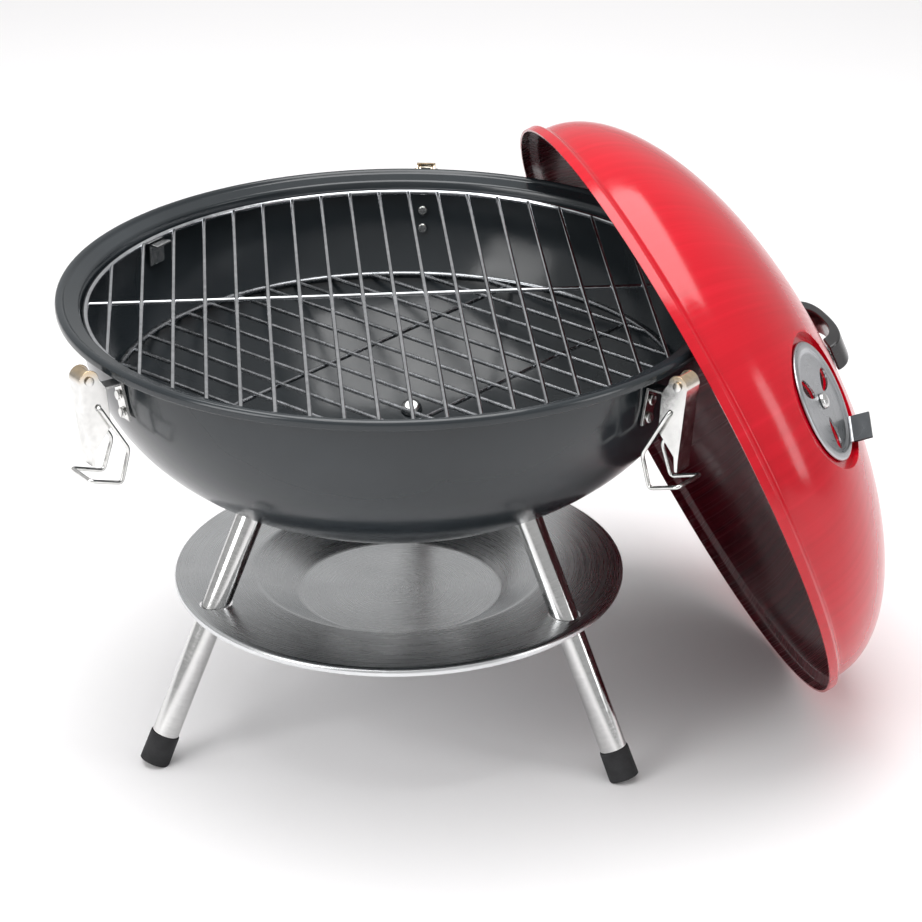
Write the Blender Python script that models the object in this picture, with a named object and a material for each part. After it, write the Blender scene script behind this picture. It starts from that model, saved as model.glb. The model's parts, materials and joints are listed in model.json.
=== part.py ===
"""Portable charcoal grill: an enamelled bowl on three splayed tube legs, an ash pan held between the
legs, two lift-out grates, and a domed lid leaning against the bowl with its damper and handle.

The frame's origin is on the floor, under the middle of the whole grill with its lid beside it. +Z is
up, and the lid leans along +X. Every piece hangs from one empty, which stands on the bowl's axis.
"""

import math

import bmesh
import bpy
from mathutils import Matrix, Vector

MM = 0.001
GAP = 0.3

# The bowl's axis, from the middle of the grill's footprint.
BOWL_AXIS = (-37.3, -2.2)

# Bowl: a squarish ellipse turned about Z, with a flat bottom and a rolled rim.
BOWL_R = 166.0
BOWL_TOP_Z = 247.0
BOWL_DEPTH = 118.0
BOWL_POWER = 2.15
BOWL_FLAT_R = 56.0
SHEET = 1.2
RIM_R = 177.5
RIM_Z = 252.5
VENT_RHO = 24.0
VENT_AZIMUTHS = (9.0, 129.0, 249.0)
ROUND_STEPS = 48

# Legs: three splayed tubes, given by their axis at two heights.
LEG_AZIMUTHS = {"left": 189.0, "right": 309.0, "rear": 69.0}
LEG_FOOT_R = 146.6
LEG_SLOPE = 60.3 / 133.8
LEG_TUBE_R = 7.25
LEG_WALL = 1.0
CAP_R = 8.1
CAP_LENGTH = 17.0
PLUG_LENGTH = 14.0
LEG_SCREW_R = 3.0

# Ash pan: a flat ring with a dished middle, threaded by the three legs.
PAN_R = 122.0
PAN_Z = 88.0
PAN_DISH_R = 79.0
PAN_FLAT_R = 54.6
PAN_DISH_DEPTH = 15.0
PAN_SHEET = 0.9
PAN_LEG_HOLE_R = 8.2

# Grates: parallel wires on a ring, with cross wires underneath.
WIRE_R = 1.15
RING_WIRE_R = 1.6
CROSS_DROP = 1.8
COOKING = {"z": 243.0, "ring": 162.1, "pitch": 16.6, "azimuth": 77.8, "count": 19, "cross": (11.7,)}
CHARCOAL = {"z": 198.0, "ring": 149.5, "pitch": 18.2, "azimuth": 122.1, "count": 16, "cross": (-43.0, 43.0)}
SUPPORT_AZIMUTHS = (9.0, 129.0, 249.0)

# Latches: each is a bracket on the bowl's side, a channel lever on a pin, and a wire bail.
LATCH_AZIMUTHS = {"left": 199.0, "right": 304.0, "rear": 69.0}
PIVOT_R = 187.0
PIVOT_Z = 246.0
LEVER_HALF_WIDTH = 5.3
LEVER_WALL = 1.0
BRACKET_HALF_WIDTH = 3.9
EAR_R = 4.2
PIN_R = 1.5
BAIL_HOLE = (-4.1, -15.0)
BAIL_WIRE_R = 1.1
RIVET_DROPS = (14.0, 24.0)

# Lid: a vertical band and an elliptic dome, leaning with its lowest rim point on the floor.
LID_R = 173.2
LID_BAND = 9.0
LID_DOME_R = 168.8
LID_DOME_RISE = 77.3
LID_TILT = 67.0
LID_CENTRE = (154.0, -5.0)
LID_FLOOR_GAP = 0.4

# Lid damper, on a flat seat pressed into the dome's side.
DAMPER_RHO = 129.0
DAMPER_AZIMUTH = -106.0
SEAT_R = 37.0
SEAT_DEPTH = 6.0
DAMPER_R = 32.5
DAMPER_LIP = 2.2
PETAL_AZIMUTH = -41.0
PETAL_RHO = 17.5
PETAL_HALF_LENGTH = 8.5
PETAL_HALF_WIDTH = 4.4
DAMPER_SCREW_R = 2.0

# Handle: a broad arch across the lid's crown, on two spacers.
HANDLE_HALF_LENGTH = 32.0
HANDLE_INNER_LENGTH = 20.0
HANDLE_THICKNESS = 5.0
HANDLE_RISE = 14.5
HANDLE_HALF_WIDTH = 8.0
HANDLE_FOOT_Y = 26.0
SPACER_R = 5.5
SPACER_HEIGHT = 2.0
HANDLE_SCREW_R = 2.0

MATERIALS = {
    "bowl_enamel": ((0.035, 0.042, 0.048), 0.12, 0.0),
    "lid_enamel": ((0.62, 0.006, 0.014), 0.12, 0.0),
    "steel": ((0.55, 0.56, 0.57), 0.25, 1.0),
    "pan_steel": ((0.42, 0.44, 0.45), 0.3, 1.0),
    "chrome": ((0.75, 0.76, 0.78), 0.12, 1.0),
    "damper_steel": ((0.45, 0.47, 0.48), 0.38, 1.0),
    "black_plastic": ((0.015, 0.016, 0.017), 0.25, 0.0),
    "rubber": ((0.012, 0.012, 0.013), 0.75, 0.0),
}


def clear_scene():
    for obj in list(bpy.data.objects):
        bpy.data.objects.remove(obj, do_unlink=True)


def material(name):
    found = bpy.data.materials.get(name)
    if found:
        return found
    colour, roughness, metallic = MATERIALS[name]
    made = bpy.data.materials.new(name)
    made.use_nodes = True
    shader = made.node_tree.nodes["Principled BSDF"]
    shader.inputs["Base Color"].default_value = (*colour, 1.0)
    shader.inputs["Roughness"].default_value = roughness
    shader.inputs["Metallic"].default_value = metallic
    return made


def finish(name, mesh, slot, parent=None, place=None):
    """Links a mesh as a named object, smooth except at its real edges."""
    obj = bpy.data.objects.new(name, mesh)
    bpy.context.scene.collection.objects.link(obj)
    if slot:
        obj.data.materials.append(material(slot))
    mesh.shade_smooth()
    mesh.set_sharp_from_angle(angle=math.radians(35))
    obj.parent = parent or grill_axis()
    if place is not None:
        obj.matrix_local = place
    return obj


def helper(obj):
    obj.hide_render = True
    obj.display_type = "WIRE"
    return obj


def to_mesh(name, bm):
    bmesh.ops.scale(bm, vec=(MM, MM, MM), verts=bm.verts)
    bmesh.ops.recalc_face_normals(bm, faces=bm.faces)
    mesh = bpy.data.meshes.new(name)
    bm.to_mesh(mesh)
    bm.free()
    return mesh


def revolved(name, outline, steps):
    """A solid turned about Z from a closed outline of (radius, height) points in millimetres."""
    bm = bmesh.new()
    ring = [bm.verts.new((r, 0.0, z)) for r, z in outline]
    on_axis = outline[0][0] == 0.0 and outline[-1][0] == 0.0
    pairs = list(zip(ring, ring[1:]))
    if not on_axis:
        pairs.append((ring[-1], ring[0]))
    edges = [bm.edges.new(pair) for pair in pairs]
    bmesh.ops.spin(
        bm, geom=ring + edges, cent=(0, 0, 0), axis=(0, 0, 1), angle=math.tau, steps=steps, use_duplicate=False
    )
    bmesh.ops.remove_doubles(bm, verts=bm.verts, dist=2e-3)
    return to_mesh(name, bm)


def extruded(name, outline, low, high):
    """A prism along Y from low to high, with an outline of (x, z) points in millimetres."""
    bm = bmesh.new()
    face = bm.faces.new([bm.verts.new((x, low, z)) for x, z in outline])
    grown = bmesh.ops.extrude_face_region(bm, geom=[face])["geom"]
    moved = [item for item in grown if isinstance(item, bmesh.types.BMVert)]
    bmesh.ops.translate(bm, vec=(0, high - low, 0), verts=moved)
    return to_mesh(name, bm)


def box(name, low, high):
    """A box between two corners in millimetres."""
    outline = [(low[0], low[2]), (high[0], low[2]), (high[0], high[2]), (low[0], high[2])]
    return extruded(name, outline, low[1], high[1])


def add_rods(bm, ends, radius, sides):
    """Straight round rods, each between a pair of points in millimetres."""
    for start, end in ends:
        start = Vector(start)
        along = Vector(end) - start
        turn = along.to_track_quat("Z", "Y").to_matrix().to_4x4()
        place = Matrix.Translation(start + along / 2) @ turn
        bmesh.ops.create_cone(
            bm, cap_ends=True, segments=sides, radius1=radius, radius2=radius, depth=along.length, matrix=place
        )


def rods(name, ends, radius, sides):
    bm = bmesh.new()
    add_rods(bm, ends, radius, sides)
    return to_mesh(name, bm)


def across(place, low, high):
    """The ends, in millimetres, of a rod along a placement's Z."""
    return [place @ Vector((0, 0, low * MM)) / MM, place @ Vector((0, 0, high * MM)) / MM]


def rounded_path(corners, radius, steps):
    """The corners of a bent wire in millimetres, with each inner corner turned to an arc."""
    points = [Vector(corners[0])]
    for before, corner, after in zip(corners, corners[1:], corners[2:]):
        corner = Vector(corner)
        to_before = (Vector(before) - corner).normalized()
        to_after = (Vector(after) - corner).normalized()
        half = to_before.angle(to_after) / 2
        reach = radius / math.tan(half)
        centre = corner + (to_before + to_after).normalized() * (radius / math.sin(half))
        first = corner + to_before * reach - centre
        last = corner + to_after * reach - centre
        sweep = first.angle(last)
        axis = first.cross(last).normalized()
        for step in range(steps + 1):
            points.append(centre + Matrix.Rotation(sweep * step / steps, 3, axis) @ first)
    points.append(Vector(corners[-1]))
    return points


def wire(name, corners, slot, parent):
    """A bent round wire as a bevelled curve with filled ends."""
    curve = bpy.data.curves.new(name, "CURVE")
    curve.dimensions = "3D"
    curve.bevel_depth = BAIL_WIRE_R * MM
    curve.bevel_resolution = 2
    curve.use_fill_caps = True
    points = rounded_path(corners, 2.2, 2)
    spline = curve.splines.new("POLY")
    spline.points.add(len(points) - 1)
    for target, point in zip(spline.points, points):
        target.co = (*(point * MM), 1.0)
    curve.materials.append(material(slot))
    obj = bpy.data.objects.new(name, curve)
    bpy.context.scene.collection.objects.link(obj)
    obj.parent = parent
    return obj


def boolean(obj, other, operation="DIFFERENCE"):
    modifier = obj.modifiers.new(other.name, "BOOLEAN")
    modifier.operation = operation
    modifier.object = helper(other)
    return modifier


def empty(name, place, parent=None):
    obj = bpy.data.objects.new(name, None)
    bpy.context.scene.collection.objects.link(obj)
    obj.parent = parent
    obj.matrix_local = place
    return obj


def grill_axis():
    """The empty that every piece hangs from, on the bowl's axis at the floor."""
    return bpy.data.objects["grill_axis"]


def at(x, y, z):
    return Matrix.Translation((x * MM, y * MM, z * MM))


def along(origin, direction, hint=(0.0, 0.0, 1.0)):
    """A placement whose Z runs along the direction and whose X leans away from the hint."""
    z_axis = Vector(direction).normalized()
    y_axis = Vector(hint).cross(z_axis).normalized()
    x_axis = y_axis.cross(z_axis)
    turn = Matrix((x_axis, y_axis, z_axis)).transposed().to_4x4()
    return at(*origin) @ turn


def polar(radius, azimuth, z=0.0):
    angle = math.radians(azimuth)
    return (radius * math.cos(angle), radius * math.sin(angle), z)


def arc(radius_x, radius_z, start, end, steps, centre=(0.0, 0.0)):
    points = []
    for step in range(steps + 1):
        angle = math.radians(start + (end - start) * step / steps)
        points.append((centre[0] + radius_x * math.cos(angle), centre[1] + radius_z * math.sin(angle)))
    return points


def offset(profile, distance):
    """The profile moved sideways, to its left where the distance is positive."""
    moved = []
    for index, (r, z) in enumerate(profile):
        before = profile[max(index - 1, 0)]
        after = profile[min(index + 1, len(profile) - 1)]
        length = math.hypot(after[0] - before[0], after[1] - before[1])
        left = (-(after[1] - before[1]) / length, (after[0] - before[0]) / length)
        moved.append((max(r + left[0] * distance, 0.0), z + left[1] * distance))
    return moved


def sheet(profile, thickness):
    """A closed outline for a sheet of the given thickness, with the profile as its right side."""
    inner = offset(profile, thickness)
    if profile[0][0] == 0.0:
        inner[0] = (0.0, inner[0][1])
    return profile + inner[::-1]


def bowl_radius(z):
    """The bowl's outer radius at a height."""
    drop = (BOWL_TOP_Z - z) / BOWL_DEPTH
    return BOWL_R * (1 - drop**BOWL_POWER) ** (1 / BOWL_POWER)


def bowl_height(radius):
    """The height of the bowl's outer surface at a radius."""
    share = radius / BOWL_R
    return BOWL_TOP_Z - BOWL_DEPTH * (1 - share**BOWL_POWER) ** (1 / BOWL_POWER)


def leg_point(azimuth, z):
    return polar(LEG_FOOT_R - LEG_SLOPE * z, azimuth, z)


def leg_direction(azimuth):
    """The unit vector up a leg."""
    return (Vector(leg_point(azimuth, 100.0)) - Vector(leg_point(azimuth, 0.0))).normalized()


def leg_top_z():
    """The height at which a leg's axis meets the bowl's outside."""
    z = 120.0
    while bowl_height(LEG_FOOT_R - LEG_SLOPE * z) > z:
        z += 0.05
    return z


def build_bowl():
    body = []
    steps = 9
    start = math.acos((BOWL_FLAT_R / BOWL_R) ** (BOWL_POWER / 2))
    for step in range(steps + 1):
        angle = start * (1 - step / steps)
        radius = BOWL_R * math.cos(angle) ** (2 / BOWL_POWER)
        body.append((radius, BOWL_TOP_Z - BOWL_DEPTH * math.sin(angle) ** (2 / BOWL_POWER)))
    floor_z = body[0][1]
    lower = [(0.0, floor_z)] + body[:-1]
    inside = offset(lower + [body[-1]], SHEET)[:-1]
    inside[0] = (0.0, inside[0][1])
    lip = [
        (BOWL_R, RIM_Z - 7.0),
        (BOWL_R + 1.6, RIM_Z - 5.0),
        (RIM_R - 2.0, RIM_Z - 3.3),
        (RIM_R - 1.6, RIM_Z - 5.6),
        (RIM_R, RIM_Z - 5.2),
        (RIM_R, RIM_Z - 1.8),
        (RIM_R - 0.9, RIM_Z - 0.5),
        (RIM_R - 2.5, RIM_Z),
        (RIM_R - 4.0, RIM_Z - 0.5),
        (RIM_R - 5.0, RIM_Z - 2.0),
        (BOWL_R - 0.4, RIM_Z - 3.9),
        (BOWL_R - SHEET, RIM_Z - 5.4),
    ]
    bowl = finish("bowl", revolved("bowl", lower + lip + inside[::-1], ROUND_STEPS), "bowl_enamel")
    bm = bmesh.new()
    add_bowl_vents(bm, floor_z)
    top_z = leg_top_z()
    for azimuth in LEG_AZIMUTHS.values():
        middle = Vector(leg_point(azimuth, top_z))
        reach = leg_direction(azimuth) * 6
        add_rods(bm, [(middle - reach, middle + reach)], LEG_SCREW_R + 0.4, 12)
    for azimuth in LATCH_AZIMUTHS.values():
        for drop in RIVET_DROPS:
            z = PIVOT_Z - drop
            add_rods(bm, [(polar(bowl_radius(z) - 6, azimuth, z), polar(bowl_radius(z) + 6, azimuth, z))], 2.0, 8)
    boolean(bowl, finish("bowl_holes", to_mesh("bowl_holes", bm), None))
    return floor_z


def add_bowl_vents(bm, floor_z):
    """Three round vents and the middle rivet's hole, as rods through the bowl's floor."""
    low, high = floor_z - 5.0, floor_z + 5.0
    add_rods(bm, [(polar(VENT_RHO, azimuth, low), polar(VENT_RHO, azimuth, high)) for azimuth in VENT_AZIMUTHS], 8.0, 20)
    add_rods(bm, [((0, 0, low), (0, 0, high))], 2.4, 12)


def build_bowl_damper(floor_z):
    """A disc under the bowl's floor with three holes and a finger tab, on a centre rivet."""
    disc = [(0.0, 0.0), (40.0, 0.0), (40.0, 1.2), (0.0, 1.2)]
    place = at(0, 0, floor_z - GAP - 1.2)
    damper = finish("bowl_damper", revolved("bowl_damper", disc, 40), "steel", place=place)
    tab = finish("bowl_damper_tab", box("bowl_damper_tab", (36.0, -7.0, 0.0), (50.0, 7.0, 1.2)), None, place=place)
    tab.rotation_euler.z = math.radians(-51.0)
    boolean(damper, tab, "UNION")
    bm = bmesh.new()
    add_bowl_vents(bm, floor_z)
    boolean(damper, finish("bowl_damper_holes", to_mesh("bowl_damper_holes", bm), None))
    low = floor_z - 2 * GAP - 1.2
    high = floor_z + SHEET + GAP
    rivet = [(0.0, low - 1.6), (4.0, low - 1.6), (4.5, low), (2.0, low), (2.0, high), (4.5, high)]
    rivet += [(4.0, high + 1.6), (0.0, high + 1.6)]
    finish("bowl_damper_rivet", revolved("bowl_damper_rivet", rivet, 16), "steel")


def build_legs():
    top_z = leg_top_z()
    inner = LEG_TUBE_R - LEG_WALL
    for side, azimuth in LEG_AZIMUTHS.items():
        direction = leg_direction(azimuth)
        foot = Vector(leg_point(azimuth, 0.0))
        length = (Vector(leg_point(azimuth, top_z)) - foot).length - 1.1
        place = along(foot, direction)
        lift = CAP_R * LEG_SLOPE + 0.85
        base = lift + 3.0 + GAP
        tube = [(inner, base), (LEG_TUBE_R, base), (LEG_TUBE_R, length), (inner, length)]
        finish("leg_" + side, revolved("leg_" + side, tube, 20), "steel", place=place)
        cap = [(0.0, lift - 3.0), (CAP_R, lift - 3.0), (CAP_R - 0.2, lift + CAP_LENGTH - 3.4)]
        cap += [(CAP_R - 0.4, lift + CAP_LENGTH - 3.0), (LEG_TUBE_R + GAP, lift + CAP_LENGTH - 3.0)]
        cap += [(LEG_TUBE_R + GAP, lift + 3.0), (0.0, lift + 3.0)]
        foot_cap = finish("foot_cap_" + side, revolved("foot_cap_" + side, cap, 20), "rubber", place=place)
        floor = finish("floor_cut_" + side, box("floor_cut_" + side, (-20, -20, -20), (20, 20, 0)), None)
        floor.matrix_local = at(*foot)
        boolean(foot_cap, floor)
        plug = [(0.0, length - PLUG_LENGTH), (inner - GAP, length - PLUG_LENGTH), (inner - GAP, length - 0.2)]
        plug += [(LEG_SCREW_R + GAP, length - 0.2), (LEG_SCREW_R + GAP, length - 11.0), (0.0, length - 11.0)]
        finish("leg_plug_" + side, revolved("leg_plug_" + side, plug, 20), "steel", place=place)
        seat = length + 1.1 + SHEET + 1.2
        screw = [(0.0, length - 10.0), (LEG_SCREW_R, length - 10.0), (LEG_SCREW_R, seat), (6.0, seat)]
        screw += [(5.2, seat + 2.2), (3.4, seat + 3.2), (0.0, seat + 3.2)]
        finish("leg_screw_" + side, revolved("leg_screw_" + side, screw, 16), "steel", place=place)


def build_ash_pan():
    floor_z = PAN_Z - PAN_DISH_DEPTH
    top = [
        (0.0, floor_z),
        (PAN_FLAT_R, floor_z),
        (PAN_DISH_R, PAN_Z),
        (PAN_R - 1.6, PAN_Z),
        (PAN_R, PAN_Z - 1.2),
        (PAN_R, PAN_Z - 3.6),
    ]
    outline = sheet(top, -PAN_SHEET)
    pan = finish("ash_pan", revolved("ash_pan", outline, 44), "pan_steel")
    ends = [(leg_point(azimuth, PAN_Z - 25), leg_point(azimuth, PAN_Z + 25)) for azimuth in LEG_AZIMUTHS.values()]
    boolean(pan, finish("pan_leg_holes", rods("pan_leg_holes", ends, PAN_LEG_HOLE_R, 20), None))


def build_grate(name, spec, slot):
    """A ring with parallel wires at its level and cross wires under them."""
    ring_r = spec["ring"]
    sides = arc(RING_WIRE_R, RING_WIRE_R, 0, 360, 8, (ring_r, 0.0))[:-1]
    place = at(0, 0, spec["z"]) @ Matrix.Rotation(math.radians(spec["azimuth"]), 4, "Z")
    grate = finish(name, revolved(name, sides, 48), slot, place=place)
    middle = (spec["count"] - 1) / 2
    ends = []
    for index in range(spec["count"]):
        y = (index - middle) * spec["pitch"]
        half = math.sqrt(ring_r**2 - y**2)
        ends.append(((-half, y, 0.0), (half, y, 0.0)))
    wires = finish(name + "_wires", rods(name + "_wires", ends, WIRE_R, 6), None, place=place)
    boolean(grate, wires, "UNION")
    ends = []
    for x in spec["cross"]:
        half = math.sqrt(ring_r**2 - x**2)
        ends.append(((x, -half, -CROSS_DROP), (x, half, -CROSS_DROP)))
    cross = finish(name + "_cross", rods(name + "_cross", ends, WIRE_R, 6), None, place=place)
    boolean(grate, cross, "UNION")


def build_grate_supports():
    """Three small angle tabs on the bowl's wall, under the cooking grate's ring."""
    shelf_z = COOKING["z"] - RING_WIRE_R - 0.4
    wall_r = bowl_radius(shelf_z - 13.0) - SHEET - 0.9
    outline = [
        (wall_r - 6.5, shelf_z - 1.2),
        (wall_r - 1.2, shelf_z - 1.2),
        (wall_r - 1.2, shelf_z - 13.0),
        (wall_r, shelf_z - 13.0),
        (wall_r, shelf_z),
        (wall_r - 6.5, shelf_z),
    ]
    for number, azimuth in enumerate(SUPPORT_AZIMUTHS, 1):
        name = f"grate_support_{number}"
        place = Matrix.Rotation(math.radians(azimuth), 4, "Z")
        finish(name, extruded(name, outline, -6.0, 6.0), "steel", place=place)


def bracket_line(z):
    """The radius of the bracket plate's inner face at a height, straight between its ends."""
    low, high = PIVOT_Z - 28.0, PIVOT_Z - 6.2
    share = (z - low) / (high - low)
    return bowl_radius(low) * (1 - share) + bowl_radius(high) * share + 1.3


def build_bracket(name, side):
    low, arm, plate = -28.0, -6.2, 1.3
    foot_x = bracket_line(PIVOT_Z + low) - PIVOT_R
    head_x = bracket_line(PIVOT_Z + arm) - PIVOT_R
    outline = [
        (foot_x, low),
        (foot_x + plate, low),
        (head_x + plate, arm - plate),
        (2.6, arm - plate),
        (3.4, arm - 0.4),
    ]
    outline += arc(EAR_R, EAR_R, -20, 180, 8)
    outline += [(-EAR_R - 1.0, arm), (head_x, arm)]
    mesh = extruded(name, outline, -BRACKET_HALF_WIDTH, BRACKET_HALF_WIDTH)
    bracket = finish(name, mesh, "steel", side)
    slot = finish(name + "_slot", box(name + "_slot", (-7.0, -2.7, arm), (8.0, 2.7, 10.0)), None, side)
    boolean(bracket, slot)
    hole = finish(name + "_hole", rods(name + "_hole", [((0, -9, 0), (0, 9, 0))], PIN_R + GAP, 12), None, side)
    boolean(bracket, hole)
    ends = [((head_x - 12, 0, -drop), (head_x + 8, 0, -drop)) for drop in RIVET_DROPS]
    holes = finish(name + "_rivet_holes", rods(name + "_rivet_holes", ends, 2.0, 10), None, side)
    boolean(bracket, holes)


def build_lever(name, side):
    """A channel with a face plate that wraps over the pin, tapering to a finger tip."""
    face_top, face_low = (5.4, -1.1), (0.9, -40.0)
    outline = arc(5.6, 5.6, 0, 180, 9)
    outline += [(-9.6, -6.0), (-11.3, -27.0), (-1.6, -38.4), (-1.0, -46.5), (0.6, -46.5), face_low, face_top]
    mesh = extruded(name, outline, -LEVER_HALF_WIDTH, LEVER_HALF_WIDTH)
    lever = finish(name, mesh, "chrome", side)
    inside = arc(4.6, 4.6, 0, 90, 5)
    inside += [(0.0, 12.0), (-15.0, 12.0), (-15.0, -52.0), (-4.0, -52.0), (-0.1, -39.0), (4.4, -1.2)]
    half = LEVER_HALF_WIDTH - LEVER_WALL
    boolean(lever, finish(name + "_inside", extruded(name + "_inside", inside, -half, half), None, side))
    pin = finish(name + "_pin_hole", rods(name + "_pin_hole", [((0, -9, 0), (0, 9, 0))], PIN_R + GAP, 12), None, side)
    boolean(lever, pin)
    x, z = BAIL_HOLE
    ends = [((x, -9, z), (x, 9, z))]
    hole = finish(name + "_bail_hole", rods(name + "_bail_hole", ends, BAIL_WIRE_R + 0.45, 12), None, side)
    boolean(lever, hole)


def build_bail(name, side):
    """A bent wire from the lever's side holes to a hooked cross bar. Its origin is on the holes' axis."""
    x, z = BAIL_HOLE
    holes = empty(name + "_axis", at(x, 0, z), side)
    half = [(0.0, 3.0, 0.0), (0.0, 7.2, 0.0), (-14.5, 8.4, -25.5), (-9.1, 9.2, -42.5), (8.7, 9.8, -36.6)]
    corners = half + [(cx, -cy, cz) for cx, cy, cz in half[::-1]]
    wire(name, corners, "chrome", holes)


def build_latches():
    for side, azimuth in LATCH_AZIMUTHS.items():
        place = at(*polar(PIVOT_R, azimuth, PIVOT_Z)) @ Matrix.Rotation(math.radians(azimuth), 4, "Z")
        pivot = empty("latch_pivot_" + side, place, grill_axis())
        build_bracket("latch_bracket_" + side, pivot)
        build_lever("latch_lever_" + side, pivot)
        build_bail("latch_bail_" + side, pivot)
        reach = LEVER_HALF_WIDTH + GAP
        pin = [(0.0, -reach - 1.0), (2.4, -reach - 1.0), (2.4, -reach), (PIN_R, -reach), (PIN_R, reach)]
        pin += [(2.4, reach), (2.4, reach + 1.0), (0.0, reach + 1.0)]
        lying = Matrix.Rotation(math.radians(90), 4, "X")
        finish("latch_pin_" + side, revolved("latch_pin_" + side, pin, 14), "chrome", pivot, lying)
        for number, drop in enumerate(RIVET_DROPS, 1):
            z = PIVOT_Z - drop
            inner = bowl_radius(z) - SHEET - 1.8 - PIVOT_R
            outer = bracket_line(z) + 1.3 + 0.9 - PIVOT_R
            rivet = [(0.0, inner - 1.0), (2.4, inner - 1.0), (2.9, inner), (1.6, inner), (1.6, outer)]
            rivet += [(2.9, outer), (2.4, outer + 1.0), (0.0, outer + 1.0)]
            name = f"bracket_rivet_{side}_{number}"
            pointing = at(0, 0, -drop) @ Matrix.Rotation(math.radians(90), 4, "Y")
            finish(name, revolved(name, rivet, 10), "steel", pivot, pointing)


def dome_height(rho):
    return LID_BAND + LID_DOME_RISE * math.sqrt(1 - (rho / LID_DOME_R) ** 2)


def dome_normal(rho):
    """The dome's outward normal at a radius, as (radial, axial)."""
    slope = LID_DOME_RISE * rho / LID_DOME_R**2 / math.sqrt(1 - (rho / LID_DOME_R) ** 2)
    length = math.hypot(slope, 1.0)
    return slope / length, 1 / length


def lid_profile(inset):
    """Half of the lid's section, moved in by the inset, from the rim to the crown."""
    band = [(LID_R - inset, 0.0), (LID_R - inset, LID_BAND - 1.6 - inset / 2)]
    band += [(LID_R - 1.2 - inset, LID_BAND - inset / 2)]
    dome = arc(LID_DOME_R - inset, LID_DOME_RISE - inset, 0, 90, 10, (0.0, LID_BAND))
    dome[0] = (LID_DOME_R - inset + 0.4, LID_BAND + 0.6 - inset / 2)
    dome[-1] = (0.0, dome[-1][1])
    return band + dome


def damper_seat():
    """The seat's centre and outward normal, in the lid's own frame."""
    out, up = dome_normal(DAMPER_RHO)
    radial = Vector(polar(1.0, DAMPER_AZIMUTH))
    normal = radial * out + Vector((0, 0, up))
    surface = radial * DAMPER_RHO + Vector((0, 0, dome_height(DAMPER_RHO)))
    return surface - normal * SEAT_DEPTH, normal


def add_vents(bm, place):
    """Prisms for the damper's three leaf-shaped vents and its screw hole."""
    place = Matrix.Translation(place.translation / MM) @ place.to_3x3().to_4x4()
    for number in range(3):
        azimuth = math.radians(PETAL_AZIMUTH + 120 * number)
        turn = place @ Matrix.Rotation(azimuth, 4, "Z") @ Matrix.Translation((PETAL_RHO, 0, 0))
        low = []
        high = []
        for step in range(14):
            angle = math.tau * step / 14
            x = PETAL_HALF_LENGTH * math.cos(angle)
            y = PETAL_HALF_WIDTH * math.sin(angle) * (1 + 0.3 * math.cos(angle))
            low.append(bm.verts.new(turn @ Vector((x, y, -6.0))))
            high.append(bm.verts.new(turn @ Vector((x, y, 6.0))))
        bm.faces.new(low)
        bm.faces.new(high)
        for index in range(14):
            bm.faces.new((low[index - 1], low[index], high[index], high[index - 1]))
    ends = [(place @ Vector((0, 0, -6.0)), place @ Vector((0, 0, 6.0)))]
    add_rods(bm, ends, DAMPER_SCREW_R + 0.4, 12)


def build_lid(frame, seat_place):
    outer = [(0.0, 0.0)] + lid_profile(0.0)
    lid = finish("lid", revolved("lid", outer, ROUND_STEPS), "lid_enamel", frame)
    upper = [(0.0, 0.0), (SEAT_R, 0.0), (SEAT_R + 1.5, 30.0), (0.0, 30.0)]
    seat_cut = finish("seat_cut", revolved("seat_cut", upper, 40), None, frame, seat_place)
    boolean(lid, seat_cut)
    inner_profile = lid_profile(SHEET)
    inner_profile[0] = (inner_profile[0][0], -2.0)
    cavity = finish("lid_cavity", revolved("lid_cavity", [(0.0, -2.0)] + inner_profile, ROUND_STEPS), None, frame)
    lower = [(0.0, -SHEET), (SEAT_R + SHEET, -SHEET), (SEAT_R + 1.5 + SHEET, 30.0), (0.0, 30.0)]
    inner_seat = finish("inner_seat_cut", revolved("inner_seat_cut", lower, 40), None, frame, seat_place)
    boolean(cavity, inner_seat)
    boolean(lid, cavity)
    bm = bmesh.new()
    add_vents(bm, seat_place)
    add_rods(bm, [across(place, -6.0, 6.0) for place in handle_seats()], HANDLE_SCREW_R + 0.4, 12)
    boolean(lid, finish("lid_holes", to_mesh("lid_holes", bm), None, frame))


def handle_seats():
    """The two places on the dome under the handle's feet, with Z along the dome's normal."""
    seats = []
    for sign in (-1, 1):
        out, up = dome_normal(HANDLE_FOOT_Y)
        origin = (0.0, sign * HANDLE_FOOT_Y, dome_height(HANDLE_FOOT_Y))
        seats.append(along(origin, (0.0, sign * out, up), (1.0, 0.0, 0.0)))
    return seats


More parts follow.
